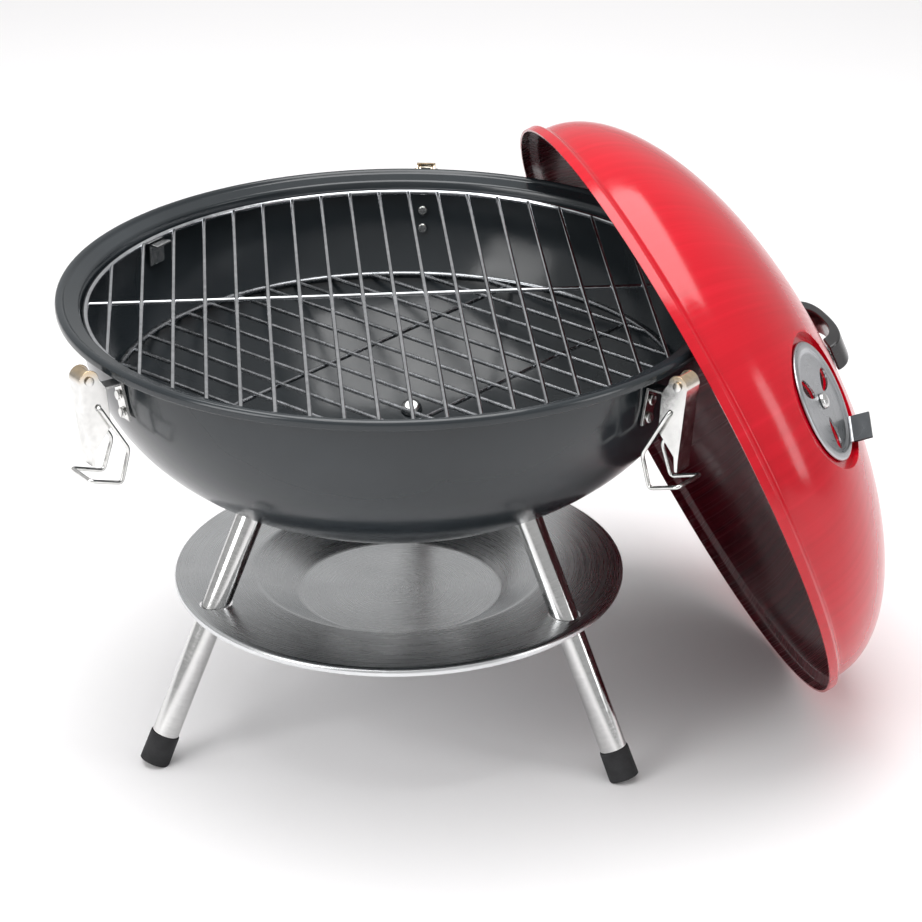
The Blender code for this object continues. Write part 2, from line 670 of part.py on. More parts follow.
def build_lid_damper(frame, seat_place):
    """A dished disc with a raised lip, three vents and a bent-up finger tab."""
    lip_r = DAMPER_R - 5.5
    base = GAP
    disc = [(0.0, base), (lip_r, base), (DAMPER_R - 3.5, base + DAMPER_LIP - 1.0), (DAMPER_R - 1.0, base + 0.4)]
    disc += [(DAMPER_R, base + 0.4), (DAMPER_R, base + 1.4), (DAMPER_R - 1.2, base + DAMPER_LIP)]
    disc += [(DAMPER_R - 4.0, base + DAMPER_LIP), (lip_r - 0.8, base + 1.0), (0.0, base + 1.0)]
    damper = finish("lid_damper", revolved("lid_damper", disc, 40), "damper_steel", frame, seat_place)
    tab_outline = [(DAMPER_R - 2.0, base + 0.7), (DAMPER_R - 0.7, base + 0.7), (DAMPER_R + 1.2, base + 12.5)]
    tab_outline += [(DAMPER_R, base + 12.5)]
    tab_place = seat_place @ Matrix.Rotation(math.radians(127.0), 4, "Z")
    tab = finish("lid_damper_tab", extruded("lid_damper_tab", tab_outline, -8.0, 8.0), None, frame, tab_place)
    boolean(damper, tab, "UNION")
    bm = bmesh.new()
    add_vents(bm, Matrix.Identity(4))
    boolean(damper, finish("damper_holes", to_mesh("damper_holes", bm), None, frame, seat_place))
    head = base + 1.0 + GAP
    foot = -SHEET - 7.0
    screw = [(0.0, foot), (DAMPER_SCREW_R, foot), (DAMPER_SCREW_R, head), (4.4, head), (4.0, head + 1.6)]
    screw += [(2.6, head + 2.4), (0.0, head + 2.7)]
    finish("damper_screw", revolved("damper_screw", screw, 20), "chrome", frame, seat_place)
    top = -SHEET - GAP
    bore = DAMPER_SCREW_R + 0.7
    nut = [(bore, top - 3.2), (4.2, top - 3.2), (4.2, top), (bore, top)]
    finish("damper_nut", revolved("damper_nut", nut, 6), "chrome", frame, seat_place)


def build_handle(frame):
    crown = LID_BAND + LID_DOME_RISE
    out, up = dome_normal(HANDLE_FOOT_Y)
    slope = out / up
    seat_z = dome_height(HANDLE_FOOT_Y) - crown + SPACER_HEIGHT + 2 * GAP + 0.3

    def foot_z(y):
        return seat_z - (y - HANDLE_FOOT_Y) * slope

    outer = []
    inner = []
    steps = 12
    for step in range(1, steps):
        angle = math.pi * step / steps
        rise = HANDLE_RISE - foot_z(HANDLE_HALF_LENGTH)
        y = HANDLE_HALF_LENGTH * math.copysign(abs(math.cos(angle)) ** 0.8, math.cos(angle))
        outer.append((y, foot_z(HANDLE_HALF_LENGTH) + rise * math.sin(angle) ** 0.8))
        reach = HANDLE_INNER_LENGTH * y / HANDLE_HALF_LENGTH
        inner.append((reach, foot_z(HANDLE_INNER_LENGTH) + (rise - HANDLE_THICKNESS) * math.sin(angle) ** 0.8))
    foot_out, foot_in = HANDLE_HALF_LENGTH, HANDLE_INNER_LENGTH
    outline = [(foot_out, foot_z(foot_out))] + outer + [(-foot_out, foot_z(foot_out)), (-foot_in, foot_z(foot_in))]
    outline += inner[::-1] + [(foot_in, foot_z(foot_in))]
    turned = at(0, 0, crown) @ Matrix.Rotation(math.radians(90), 4, "Z")
    mesh = extruded("handle", outline, -HANDLE_HALF_WIDTH, HANDLE_HALF_WIDTH)
    handle = finish("handle", mesh, "black_plastic", frame, turned)
    bevel = handle.modifiers.new("edges", "BEVEL")
    bevel.width = 1.0 * MM
    bevel.segments = 2
    bevel.limit_method = "ANGLE"
    bevel.angle_limit = math.radians(60)
    spacer_base = GAP + 0.2
    seat_top = spacer_base + SPACER_HEIGHT
    for number, place in enumerate(handle_seats(), 1):
        bore = rods(f"handle_bore_{number}", [((0, 0, 0), (0, 0, seat_top + 5.0))], HANDLE_SCREW_R + 0.4, 12)
        boolean(handle, finish(f"handle_bore_{number}", bore, None, frame, place))
        spacer = [(HANDLE_SCREW_R + 0.4, spacer_base), (SPACER_R, spacer_base), (SPACER_R, seat_top)]
        spacer += [(HANDLE_SCREW_R + 0.4, seat_top)]
        name = f"handle_spacer_{number}"
        finish(name, revolved(name, spacer, 20), "black_plastic", frame, place)
        low = -SHEET - 0.5
        screw = [(0.0, low - 2.6), (2.8, low - 2.2), (4.0, low), (HANDLE_SCREW_R, low)]
        screw += [(HANDLE_SCREW_R, seat_top + 4.4), (0.0, seat_top + 4.4)]
        name = f"handle_screw_{number}"
        finish(name, revolved(name, screw, 16), "chrome", frame, place)


def build_lid_assembly():
    tilt = math.radians(LID_TILT)
    centre_z = LID_R * math.sin(tilt) + LID_FLOOR_GAP
    place = at(*LID_CENTRE, centre_z) @ Matrix.Rotation(tilt, 4, "Y")
    frame = empty("lid_frame", place, grill_axis())
    centre, normal = damper_seat()
    seat_place = along(centre, normal)
    build_lid(frame, seat_place)
    build_lid_damper(frame, seat_place)
    build_handle(frame)


def main():
    clear_scene()
    empty("grill_axis", at(*BOWL_AXIS, 0.0))
    floor_z = build_bowl()
    build_bowl_damper(floor_z)
    build_legs()
    build_ash_pan()
    build_grate("cooking_grate", COOKING, "chrome")
    build_grate("charcoal_grate", CHARCOAL, "steel")
    build_grate_supports()
    build_latches()
    build_lid_assembly()


main()
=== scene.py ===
# %% [markdown]
# # A portable charcoal grill
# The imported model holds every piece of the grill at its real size, with its joints. Here each piece
# that the eye rests on is made again with a finer surface, and everything gets its real finish.

# %% Load the frame
import json
import math

import bpy
from mathutils import Matrix, Vector


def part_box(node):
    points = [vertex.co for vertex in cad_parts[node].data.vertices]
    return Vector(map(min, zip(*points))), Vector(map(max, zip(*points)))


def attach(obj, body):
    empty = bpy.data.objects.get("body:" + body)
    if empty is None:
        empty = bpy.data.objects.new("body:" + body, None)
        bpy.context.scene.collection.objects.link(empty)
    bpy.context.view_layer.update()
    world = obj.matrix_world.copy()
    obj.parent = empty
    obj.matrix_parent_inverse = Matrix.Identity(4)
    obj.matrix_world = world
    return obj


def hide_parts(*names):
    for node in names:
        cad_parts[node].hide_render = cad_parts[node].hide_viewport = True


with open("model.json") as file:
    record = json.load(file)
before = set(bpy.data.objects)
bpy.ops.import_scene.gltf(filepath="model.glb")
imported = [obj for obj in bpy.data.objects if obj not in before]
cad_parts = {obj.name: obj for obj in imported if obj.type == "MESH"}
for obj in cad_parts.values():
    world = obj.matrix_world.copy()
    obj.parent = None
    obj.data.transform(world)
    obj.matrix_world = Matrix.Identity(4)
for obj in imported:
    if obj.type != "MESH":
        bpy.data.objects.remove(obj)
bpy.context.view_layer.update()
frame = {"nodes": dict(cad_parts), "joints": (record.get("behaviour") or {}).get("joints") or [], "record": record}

MM = 0.001

# %% [markdown]
# ## Where things are
# The bowl's axis is the middle of the bowl's box. Levels are measured from the surface it stands
# on. The lid's own frame has its Z along the lid's axis: its slide joint gives the direction, and
# the rim's centre is found from the lid's box, because the rim's lowest point is the box's floor.

# %% Measure the frame
bowl_low, bowl_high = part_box("bowl")
axis_x = (bowl_low.x + bowl_high.x) / 2
axis_y = (bowl_low.y + bowl_high.y) / 2
joints = {joint["name"]: joint for joint in frame["joints"]}
node_body = {node: body for body, nodes in frame["record"]["behaviour"]["bodies"].items() for node in nodes}


def at(x, y, z):
    """A placement, in millimetres from the bowl's axis at the floor."""
    return Matrix.Translation((axis_x + x * MM, axis_y + y * MM, z * MM))


def polar(radius, azimuth, z=0.0):
    angle = math.radians(azimuth)
    return (radius * math.cos(angle), radius * math.sin(angle), z)


def facing(direction, hint=(0.0, 0.0, 1.0)):
    """A turn whose Z runs along the direction and whose X leans away from the hint."""
    z_axis = Vector(direction).normalized()
    y_axis = Vector(hint).cross(z_axis).normalized()
    return Matrix((y_axis.cross(z_axis), y_axis, z_axis)).transposed().to_4x4()


LID_R = 173.2
lid_axis = Vector(joints["lid_lift"]["axis"])
lid_tilt = math.atan2(lid_axis.x, lid_axis.z)
lid_low, lid_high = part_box("lid")
lid_centre = Vector(
    (
        lid_low.x + LID_R * MM * math.cos(lid_tilt),
        (lid_low.y + lid_high.y) / 2,
        lid_low.z + LID_R * MM * math.sin(lid_tilt),
    )
)
LID = Matrix.Translation(lid_centre) @ Matrix.Rotation(lid_tilt, 4, "Y")
print("bowl axis:", round(axis_x, 4), round(axis_y, 4), "lid tilt:", round(math.degrees(lid_tilt), 2))

# %% [markdown]
# ## The camera
# It looks down at the grill from the front left, through a long lens, so the rim is a wide ellipse
# and the leaning lid shows both its crown and its inside.

# %% Camera
EYE = Vector((-0.4584, -1.554, 0.8973))
LOOK_AZIMUTH = 73.603
LOOK_DOWN = 24.955
ROLL = 0.32
LENS = 128.9
azimuth, down = math.radians(LOOK_AZIMUTH), math.radians(LOOK_DOWN)
look = Vector((math.cos(azimuth) * math.cos(down), math.sin(azimuth) * math.cos(down), -math.sin(down)))
bpy.ops.object.camera_add(location=EYE)
camera = bpy.context.object
aimed = look.to_track_quat("-Z", "Y").to_matrix() @ Matrix.Rotation(math.radians(-ROLL), 3, "Z")
camera.rotation_euler = aimed.to_euler()
camera.data.lens = LENS
camera.data.clip_start = 0.05
camera.data.clip_end = 60.0
bpy.context.scene.camera = camera
print("lens:", camera.data.lens, "mm")

# %% [markdown]
# ## Turning and cutting out
# Most of a grill is turned or pressed. A turned piece starts as one corner of a plane, is extruded
# along half of its section, and is spun about the axis. A plate is the same outline filled and
# extruded. An operator acts on all that is selected, so everything is deselected first.


# %% Turn and cut out
def rest():
    """Leaves edit mode with nothing selected."""
    if bpy.context.mode != "OBJECT":
        bpy.ops.object.mode_set(mode="OBJECT")
    bpy.ops.object.select_all(action="DESELECT")


def only(obj):
    rest()
    obj.select_set(True)
    bpy.context.view_layer.objects.active = obj
    return obj


def traced(name, points):
    """A line of edges along the points, in millimetres, left in edit mode with all selected."""
    rest()
    bpy.ops.mesh.primitive_plane_add(size=MM)
    obj = bpy.context.object
    obj.name = name
    obj.data.name = name
    bpy.ops.object.mode_set(mode="EDIT")
    bpy.ops.mesh.select_all(action="SELECT")
    bpy.ops.mesh.merge(type="CENTER")
    bpy.ops.transform.translate(value=Vector(points[0]) * MM)
    for before, after in zip(points, points[1:]):
        step = (Vector(after) - Vector(before)) * MM
        bpy.ops.mesh.extrude_region_move(TRANSFORM_OT_translate={"value": step})
    bpy.ops.mesh.select_all(action="SELECT")
    return obj


def placed(obj, place, crease=32.0):
    """Puts a piece in its place, keeps that place in its mesh, and shades it."""
    only(obj)
    obj.matrix_world = place
    bpy.ops.object.transform_apply(location=True, rotation=True, scale=True)
    bpy.ops.object.shade_smooth_by_angle(angle=math.radians(crease))
    return obj


def turned(name, outline, steps, place, crease=32.0):
    """A solid turned about Z from a section of (radius, height) points in millimetres."""
    points = [(r, 0.0, z) for r, z in outline]
    if outline[0][0] > 0.0 or outline[-1][0] > 0.0:
        points.append(points[0])
    obj = traced(name, points)
    bpy.ops.mesh.spin(steps=steps, angle=math.tau, center=(0, 0, 0), axis=(0, 0, 1))
    bpy.ops.mesh.select_all(action="SELECT")
    bpy.ops.mesh.remove_doubles(threshold=2e-6)
    bpy.ops.mesh.normals_make_consistent(inside=False)
    return placed(obj, place, crease)


def plate(name, outline, low, high, place, crease=32.0):
    """A prism along Y from low to high, with a section of (x, z) points in millimetres."""
    obj = traced(name, [(x, low, z) for x, z in outline] + [(outline[0][0], low, outline[0][1])])
    bpy.ops.mesh.remove_doubles(threshold=1e-6)
    bpy.ops.mesh.edge_face_add()
    bpy.ops.mesh.extrude_region_move(TRANSFORM_OT_translate={"value": (0, (high - low) * MM, 0)})
    bpy.ops.mesh.select_all(action="SELECT")
    bpy.ops.mesh.normals_make_consistent(inside=False)
    return placed(obj, place, crease)


print("made to turn and cut out:", turned.__name__, plate.__name__)

# %% [markdown]
# ## Softening, drilling and joining
# A press or a file leaves no edge truly sharp, so folds and cut edges get a small bevel, and the
# flat faces between them keep their own shading. Holes are drilled with round bars.


# %% Soften, drill and join
def softened(obj, width, segments=2, above=32.0):
    """Rounds each edge that is sharper than an angle, by a width in millimetres."""
    only(obj)
    bevel = obj.modifiers.new("soft", "BEVEL")
    bevel.width = width * MM
    bevel.segments = segments
    bevel.limit_method = "ANGLE"
    bevel.angle_limit = math.radians(above)
    bevel.use_clamp_overlap = True
    bpy.ops.object.modifier_apply(modifier="soft")
    bpy.ops.object.shade_smooth_by_angle(angle=math.radians(60))
    weigh = obj.modifiers.new("weigh", "WEIGHTED_NORMAL")
    weigh.keep_sharp = True
    weigh.weight = 90
    bpy.ops.object.modifier_apply(modifier="weigh")
    return obj


def boolean(obj, other, operation="DIFFERENCE"):
    """Cuts or joins two solids, and removes the second."""
    only(obj)
    modifier = obj.modifiers.new("cut", "BOOLEAN")
    modifier.operation = operation
    modifier.object = other
    modifier.solver = "EXACT"
    bpy.ops.object.modifier_apply(modifier="cut")
    bpy.data.objects.remove(other, do_unlink=True)
    return obj


def rod(name, start, end, radius, sides, place):
    """A round bar between two points, in millimetres of a placement."""
    start, end = Vector(start), Vector(end)
    rest()
    bpy.ops.mesh.primitive_cylinder_add(vertices=sides, radius=radius * MM, depth=(end - start).length * MM)
    obj = bpy.context.object
    obj.name = name
    turn = (end - start).to_track_quat("Z", "Y").to_matrix().to_4x4()
    obj.matrix_world = place @ Matrix.Translation((start + end) / 2 * MM) @ turn
    only(obj)
    bpy.ops.object.transform_apply(location=True, rotation=True, scale=True)
    return obj


def joined(name, objects):
    """Several meshes in one object."""
    rest()
    for obj in objects:
        obj.select_set(True)
    bpy.context.view_layer.objects.active = objects[0]
    bpy.ops.object.join()
    objects[0].name = name
    objects[0].data.name = name
    return objects[0]


print("made to soften, drill and join:", softened.__name__, boolean.__name__, rod.__name__, joined.__name__)


# %% [markdown]
# ## Standing for a node
# A finer piece rides on the body of the node that it stands for, hides that node, and is given
# its finish.


# %% Stand-ins
def stands_for(obj, node, finish):
    obj.data.materials.clear()
    obj.data.materials.append(finish)
    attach(obj, node_body[node])
    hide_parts(node)
    return obj


def copy_of(node, name, width, segments=2):
    """A copy of a node's mesh, merged and cleaned, with its edges softened."""
    obj = bpy.data.objects.new(name, frame["nodes"][node].data.copy())
    bpy.context.scene.collection.objects.link(obj)
    only(obj)
    bpy.ops.object.mode_set(mode="EDIT")
    bpy.ops.mesh.select_all(action="SELECT")
    bpy.ops.mesh.remove_doubles(threshold=2e-6)
    bpy.ops.mesh.dissolve_limited(angle_limit=math.radians(1.0))
    bpy.ops.object.mode_set(mode="OBJECT")
    return softened(obj, width, segments)


# %% [markdown]
# ## Finishes
# Each finish is a Principled shader with its own noise for the small things a hand would feel:
# the orange peel of enamel, the lines a polishing wheel leaves, the grain of rubber. The noise is
# laid out on the piece itself, so it stays with the piece when a joint moves it.


# %% Start a finish and lay it out
def new_finish(name, roughness, metallic=0.0, coat=0.0, specular=0.5):
    finish = bpy.data.materials.new(name)
    finish.use_nodes = True
    shader = finish.node_tree.nodes["Principled BSDF"]
    shader.inputs["Roughness"].default_value = roughness
    shader.inputs["Metallic"].default_value = metallic
    shader.inputs["Coat Weight"].default_value = coat
    shader.inputs["Coat Roughness"].default_value = 0.05
    shader.inputs["Specular IOR Level"].default_value = specular
    return finish, shader


def add(finish, kind, **values):
    node = finish.node_tree.nodes.new(kind)
    for key, value in values.items():
        setattr(node, key, value)
    return node


def link(finish, source, target):
    finish.node_tree.links.new(source, target)


def object_point(finish, place=None):
    """Object coordinates, or the same point in the frame of a placement."""
    point = add(finish, "ShaderNodeTexCoord").outputs["Object"]
    if place is None:
        return point
    mapping = add(finish, "ShaderNodeMapping", vector_type="TEXTURE")
    mapping.inputs["Location"].default_value = place.to_translation()
    mapping.inputs["Rotation"].default_value = place.to_euler()
    link(finish, point, mapping.inputs["Vector"])
    return mapping.outputs["Vector"]


def around(finish, point, turn_scale, out_scale, along_scale=0.0):
    """A point for noise about an axis, close together one way and drawn out along the other."""
    parts = add(finish, "ShaderNodeSeparateXYZ")
    link(finish, point, parts.inputs[0])
    flat = add(finish, "ShaderNodeCombineXYZ")
    link(finish, parts.outputs["X"], flat.inputs["X"])
    link(finish, parts.outputs["Y"], flat.inputs["Y"])
    unit = add(finish, "ShaderNodeVectorMath", operation="NORMALIZE")
    link(finish, flat.outputs[0], unit.inputs[0])
    wide = add(finish, "ShaderNodeVectorMath", operation="SCALE")
    wide.inputs["Scale"].default_value = turn_scale
    link(finish, unit.outputs["Vector"], wide.inputs[0])
    length = add(finish, "ShaderNodeVectorMath", operation="LENGTH")
    link(finish, flat.outputs[0], length.inputs[0])
    out = add(finish, "ShaderNodeMath", operation="MULTIPLY")
    out.inputs[1].default_value = out_scale
    link(finish, length.outputs["Value"], out.inputs[0])
    up = add(finish, "ShaderNodeMath", operation="MULTIPLY_ADD")
    up.inputs[1].default_value = along_scale
    link(finish, parts.outputs["Z"], up.inputs[0])
    link(finish, out.outputs[0], up.inputs[2])
    lift = add(finish, "ShaderNodeCombineXYZ")
    link(finish, up.outputs[0], lift.inputs["Z"])
    total = add(finish, "ShaderNodeVectorMath", operation="ADD")
    link(finish, wide.outputs["Vector"], total.inputs[0])
    link(finish, lift.outputs[0], total.inputs[1])
    return total.outputs["Vector"]


print("made to lay out a finish:", object_point.__name__, around.__name__)

# %% [markdown]
# ## Noise into colour, gloss and relief
# One noise can do several jobs: a ramp turns it into a colour, a map into more or less gloss, and
# a bump into relief too fine to model.


# %% Colour, gloss and relief
def noise(finish, point, scale, detail=3.0, roughness=0.5):
    node = add(finish, "ShaderNodeTexNoise")
    node.inputs["Scale"].default_value = scale
    node.inputs["Detail"].default_value = detail
    node.inputs["Roughness"].default_value = roughness
    link(finish, point, node.inputs["Vector"])
    return node.outputs["Fac"]


def ramp(finish, value, stops):
    """Colours between stops, each a position and a colour."""
    node = add(finish, "ShaderNodeValToRGB")
    elements = node.color_ramp.elements
    while len(elements) < len(stops):
        elements.new(0.5)
    for element, (position, colour) in zip(elements, stops):
        element.position = position
        element.color = (*colour, 1.0)
    link(finish, value, node.inputs["Fac"])
    return node.outputs["Color"]


def between(finish, value, low, high, from_low=0.3, from_high=0.7):
    node = add(finish, "ShaderNodeMapRange")
    node.inputs["From Min"].default_value = from_low
    node.inputs["From Max"].default_value = from_high
    node.inputs["To Min"].default_value = low
    node.inputs["To Max"].default_value = high
    link(finish, value, node.inputs["Value"])
    return node.outputs["Result"]


def bump(finish, shader, value, strength, depth, before=None):
    """Relief from a value, with its depth in millimetres."""
    node = add(finish, "ShaderNodeBump")
    node.inputs["Strength"].default_value = strength
    node.inputs["Distance"].default_value = depth * MM
    link(finish, value, node.inputs["Height"])
    if before is not None:
        link(finish, before, node.inputs["Normal"])
    link(finish, node.outputs["Normal"], shader.inputs["Normal"])
    return node.outputs["Normal"]


print("made to finish:", noise.__name__, ramp.__name__, between.__name__, bump.__name__)

# %% [markdown]
# ## Enamel
# Porcelain enamel is glass fused onto steel. It is glossy, with a faint orange peel a few
# millimetres wide, and its colour drifts a little where it pooled. The lid is red outside and
# maroon inside, and shows long fine streaks running from the crown to the rim.


# %% Enamel finishes
def enamel(name, stops, rough_low, rough_high, streak_place=None, peel=0.05):
    finish, shader = new_finish(name, rough_low)
    point = object_point(finish)
    peel_normal = bump(finish, shader, noise(finish, point, 260.0, 2.0), peel, 0.6)
    if streak_place is None:
        drift = noise(finish, point, 14.0, 3.0)
        wear = noise(finish, point, 45.0, 5.0, 0.6)
    else:
        local = object_point(finish, streak_place)
        drift = noise(finish, around(finish, local, 26.0, 7.0), 1.0, 5.0, 0.65)
        wear = noise(finish, around(finish, local, 75.0, 12.0), 1.0, 4.0, 0.6)
        bump(finish, shader, wear, 0.03, 0.2, peel_normal)
    link(finish, ramp(finish, drift, stops), shader.inputs["Base Color"])
    link(finish, between(finish, wear, rough_low, rough_high), shader.inputs["Roughness"])
    return finish


slate = enamel("slate_enamel", [(0.3, (0.014, 0.018, 0.021)), (0.7, (0.021, 0.026, 0.03))], 0.14, 0.22)
reds = [(0.25, (0.43, 0.0, 0.008)), (0.55, (0.5, 0.001, 0.011)), (0.8, (0.56, 0.004, 0.018))]
red = enamel("red_enamel", reds, 0.12, 0.22, LID)
maroon = enamel("maroon_enamel", [(0.3, (0.05, 0.004, 0.008)), (0.75, (0.13, 0.008, 0.016))], 0.16, 0.34, LID)
print("enamels:", slate.name, red.name, maroon.name)

# %% [markdown]
# ## Metals
# The pan is pressed and wheel-polished, so fine rings run round it. The legs are polished round
# their length. The cooking grate's wires are plated, and the charcoal grate's are duller.


# %% Metal finishes
def metal(name, dark, light, rough_low, rough_high, point_of, scale, relief=0.05, depth=0.1):
    finish, shader = new_finish(name, rough_low, metallic=1.0)
    lines = noise(finish, point_of(finish), scale, 4.0, 0.6)
    broad = noise(finish, object_point(finish), 30.0, 3.0)
    mixed = add(finish, "ShaderNodeMath", operation="ADD")
    link(finish, lines, mixed.inputs[0])
    link(finish, broad, mixed.inputs[1])
    half = add(finish, "ShaderNodeMath", operation="MULTIPLY")
    half.inputs[1].default_value = 0.5
    link(finish, mixed.outputs[0], half.inputs[0])
    link(finish, ramp(finish, half.outputs[0], [(0.35, dark), (0.65, light)]), shader.inputs["Base Color"])
    link(finish, between(finish, lines, rough_low, rough_high), shader.inputs["Roughness"])
    bump(finish, shader, lines, relief, depth)
    return finish


AXIS = at(0, 0, 0)


def leg_place(azimuth):
    """The frame of a leg, with its origin at the floor and its Z up the leg."""
    foot = Vector(polar(LEG_FOOT_R, azimuth, 0.0))
    above = Vector(polar(LEG_FOOT_R - LEG_SLOPE * 100.0, azimuth, 100.0))
    return at(*foot) @ facing(above - foot)


LEG_FOOT_R = 146.6
LEG_SLOPE = 60.3 / 133.8
LEG_AZIMUTHS = {"left": 189.0, "right": 309.0, "rear": 69.0}
pan_steel = metal(
    "pan_steel", (0.58, 0.59, 0.6), (0.7, 0.71, 0.72), 0.24, 0.32,
    lambda finish: around(finish, object_point(finish, AXIS), 1.5, 1400.0), 1.0, 0.02, 0.05,
)
leg_steels = {
    side: metal(
        "leg_steel_" + side, (0.56, 0.56, 0.56), (0.68, 0.68, 0.67), 0.1, 0.2,
        lambda finish, azimuth=azimuth: around(finish, object_point(finish, leg_place(azimuth)), 1.5, 0.0, 700.0),
        1.0, 0.02, 0.03,
    )
    for side, azimuth in LEG_AZIMUTHS.items()
}
chrome = metal("grate_chrome", (0.42, 0.43, 0.45), (0.66, 0.67, 0.69), 0.08, 0.2, object_point, 220.0, 0.03, 0.05)
dull_wire = metal("grate_steel", (0.24, 0.25, 0.26), (0.45, 0.46, 0.48), 0.18, 0.34, object_point, 180.0, 0.05, 0.08)
bright_steel = metal("bright_steel", (0.5, 0.5, 0.5), (0.8, 0.8, 0.79), 0.14, 0.28, object_point, 300.0, 0.04, 0.05)
print("metals:", pan_steel.name, chrome.name, dull_wire.name, bright_steel.name)

# %% [markdown]
# ## Latches, damper, handle and feet
# The latches are bright plated steel, warmer where the plate is folded over the pin. The lid's
# damper is a grey satin disc, brushed in rings, with a blackened finger tab. The handle is moulded
# plastic, and the feet are rubber with a fine grain.


# %% Latch metal
def latch_metal(name, place):
    """Bright plate that turns brassy over the pin, between two levels measured from it."""
    finish = metal(name, (0.55, 0.55, 0.54), (0.84, 0.84, 0.82), 0.12, 0.26, object_point, 260.0, 0.03, 0.05)
    shader = finish.node_tree.nodes["Principled BSDF"]
    parts = add(finish, "ShaderNodeSeparateXYZ")
    link(finish, object_point(finish, place), parts.inputs[0])
    near = between(finish, parts.outputs["Z"], 0.0, 0.75, FOLD_LOW * MM, FOLD_HIGH * MM)
    tint = add(finish, "ShaderNodeMix", data_type="RGBA", blend_type="MULTIPLY")
    link(finish, near, tint.inputs["Factor"])
    plain = shader.inputs["Base Color"].links[0].from_socket
    link(finish, plain, tint.inputs["A"])
    tint.inputs["B"].default_value = (0.86, 0.62, 0.34, 1.0)
    link(finish, tint.outputs["Result"], shader.inputs["Base Color"])
    return finish


FOLD_LOW, FOLD_HIGH = -1.0, 4.5
PIVOT_R, PIVOT_Z = 187.0, 246.0
LATCH_AZIMUTHS = {"left": 199.0, "right": 304.0, "rear": 69.0}
pivots = {
    side: at(*polar(PIVOT_R, angle, PIVOT_Z)) @ Matrix.Rotation(math.radians(angle), 4, "Z")
    for side, angle in LATCH_AZIMUTHS.items()
}
latch_steels = {side: latch_metal("latch_steel_" + side, place) for side, place in pivots.items()}
print("latch metals:", [finish.name for finish in latch_steels.values()])

# %% [markdown]
# ## The damper's seat
# The lid is an ellipse turned about its axis, over a short straight band. The seat lies flat to the
# dome, a little sunk, where the damper's screw goes through it.

# %% The dome and the seat on it
SEAT_R, SEAT_DEPTH = 37.0, 6.0
DAMPER_RHO, DAMPER_AZIMUTH = 129.0, -106.0
LID_BAND, LID_DOME_R, LID_DOME_RISE = 9.0, 168.8, 77.3


def dome_height(rho):
    return LID_BAND + LID_DOME_RISE * math.sqrt(1 - (rho / LID_DOME_R) ** 2)


def dome_normal(rho):
    """The dome's outward normal at a radius, as (radial, axial)."""
    slope = LID_DOME_RISE * rho / LID_DOME_R**2 / math.sqrt(1 - (rho / LID_DOME_R) ** 2)
    return slope / math.hypot(slope, 1.0), 1.0 / math.hypot(slope, 1.0)


seat_out, seat_up = dome_normal(DAMPER_RHO)
seat_normal = Vector(polar(seat_out, DAMPER_AZIMUTH, seat_up))
seat_centre = Vector(polar(DAMPER_RHO, DAMPER_AZIMUTH, dome_height(DAMPER_RHO))) - seat_normal * SEAT_DEPTH
SEAT = LID @ Matrix.Translation(seat_centre * MM) @ facing(seat_normal)
print("seat centre:", [round(v, 4) for v in SEAT.to_translation()])

# %% [markdown]
# ## Damper steel, plastic and rubber
# The tab is told from the disc by its height above the seat, so one finish serves both.

# %% Damper, handle and foot finishes
TAB_LOW, TAB_HIGH = 2.9, 3.3
damper_steel = metal(
    "damper_steel", (0.34, 0.35, 0.36), (0.5, 0.51, 0.53), 0.24, 0.38,
    lambda finish: around(finish, object_point(finish, SEAT), 2.0, 1500.0), 1.0, 0.08, 0.08,
)
shader = damper_steel.node_tree.nodes["Principled BSDF"]
parts = add(damper_steel, "ShaderNodeSeparateXYZ")
link(damper_steel, object_point(damper_steel, SEAT), parts.inputs[0])
on_tab = between(damper_steel, parts.outputs["Z"], 0.0, 1.0, TAB_LOW * MM, TAB_HIGH * MM)
dark = add(damper_steel, "ShaderNodeMix", data_type="RGBA")
link(damper_steel, on_tab, dark.inputs["Factor"])
link(damper_steel, shader.inputs["Base Color"].links[0].from_socket, dark.inputs["A"])
dark.inputs["B"].default_value = (0.03, 0.032, 0.034, 1.0)
link(damper_steel, dark.outputs["Result"], shader.inputs["Base Color"])

plastic, shader = new_finish("handle_plastic", 0.2, coat=0.2)
mottle = noise(plastic, object_point(plastic), 120.0, 4.0)
blacks = [(0.3, (0.012, 0.012, 0.013)), (0.7, (0.02, 0.02, 0.021))]
link(plastic, ramp(plastic, mottle, blacks), shader.inputs["Base Color"])
link(plastic, between(plastic, mottle, 0.16, 0.26), shader.inputs["Roughness"])
bump(plastic, shader, noise(plastic, object_point(plastic), 900.0, 2.0), 0.06, 0.1)

rubber, shader = new_finish("foot_rubber", 0.7, specular=0.35)
grain = noise(rubber, object_point(rubber), 1500.0, 4.0, 0.7)
dust = noise(rubber, object_point(rubber), 90.0, 4.0)
soots = [(0.35, (0.01, 0.01, 0.011)), (0.75, (0.03, 0.03, 0.032))]
link(rubber, ramp(rubber, dust, soots), shader.inputs["Base Color"])
link(rubber, between(rubber, grain, 0.6, 0.8), shader.inputs["Roughness"])
bump(rubber, shader, grain, 0.35, 0.15)
print("finishes:", damper_steel.name, plastic.name, rubber.name)

# %% [markdown]
# ## The bowl
# A deep squarish bowl pressed from steel sheet, with its edge rolled outwards into a bead that
# stiffens it and takes the lid. Its section is drawn from the middle of the floor up the outside,
# over the bead and down the inside, and spun. Vents, screw holes and rivet holes are drilled after.


